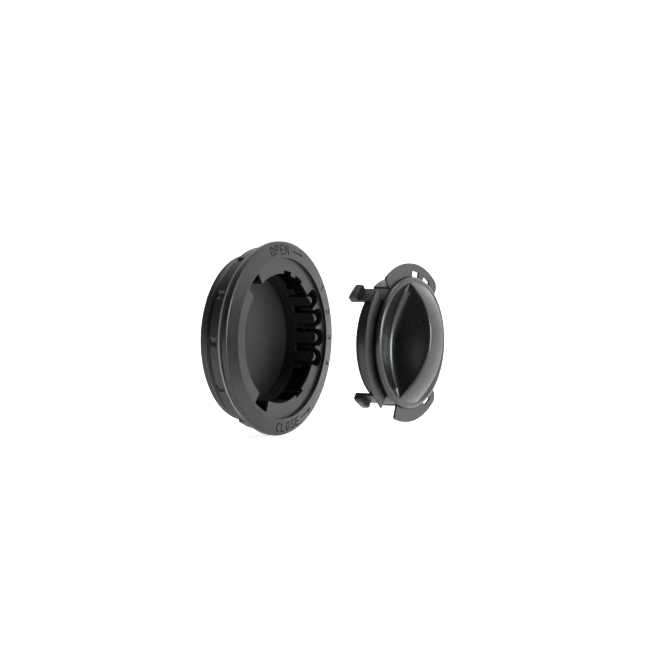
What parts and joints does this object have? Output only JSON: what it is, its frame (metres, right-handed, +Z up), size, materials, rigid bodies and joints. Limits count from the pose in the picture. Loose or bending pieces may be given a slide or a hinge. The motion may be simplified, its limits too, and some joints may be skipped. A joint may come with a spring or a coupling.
{
  "type": "deck hatch",
  "caption": "Round twist-lock deck hatch: a flanged ring with a closed well, and a round lid with a grip bar, two long hooks and three lugs.",
  "frame": {"origin": "centre of the ring, on the flange's back face, which lies on the panel's front", "axes": "+Z up as the legends are read, +Y along the ring's axis into the panel, so the front faces -Y"},
  "size_m": [0.114, 0.1288, 0.114],
  "materials": {
    "ring_plastic": "satin black moulded plastic, fine grain",
    "gasket_rubber": "matt black rubber",
    "washer_plastic": "plain grey slip washer",
    "nut_plastic": "satin black moulded plastic",
    "cover_plastic": "matt dark grey moulded plastic",
    "seal_rubber": "matt black rubber",
    "screw_steel": "plain stainless steel",
    "lid_plastic": "satin black moulded plastic",
    "lid_seal_rubber": "matt black rubber",
    "knob_plastic": "smooth satin-gloss black moulded plastic"
  },
  "bodies": {
    "ring": {"deck_ring": "ring_plastic", "deck_gasket": "gasket_rubber", "nut_washer": "washer_plastic", "clamp_nut": "nut_plastic", "well_cover": "cover_plastic", "cover_seal": "seal_rubber", "cover_screws": "screw_steel"},
    "seal": {"lid_seal": "lid_seal_rubber"},
    "lid": {"lid_body": "lid_plastic", "grip_knob": "knob_plastic", "knob_screws": "screw_steel"}
  },
  "joints": [
    {"name": "lid_lift", "type": "slide", "parent": "ring", "child": "seal", "axis": [0, 1, 0], "range_m": [0, 0.084]},
    {"name": "lid_turn", "type": "hinge", "parent": "seal", "child": "lid", "pos_m": [0, 0, 0], "axis": [0, -1, 0], "range_deg": [0, 24.5]}
  ]
}
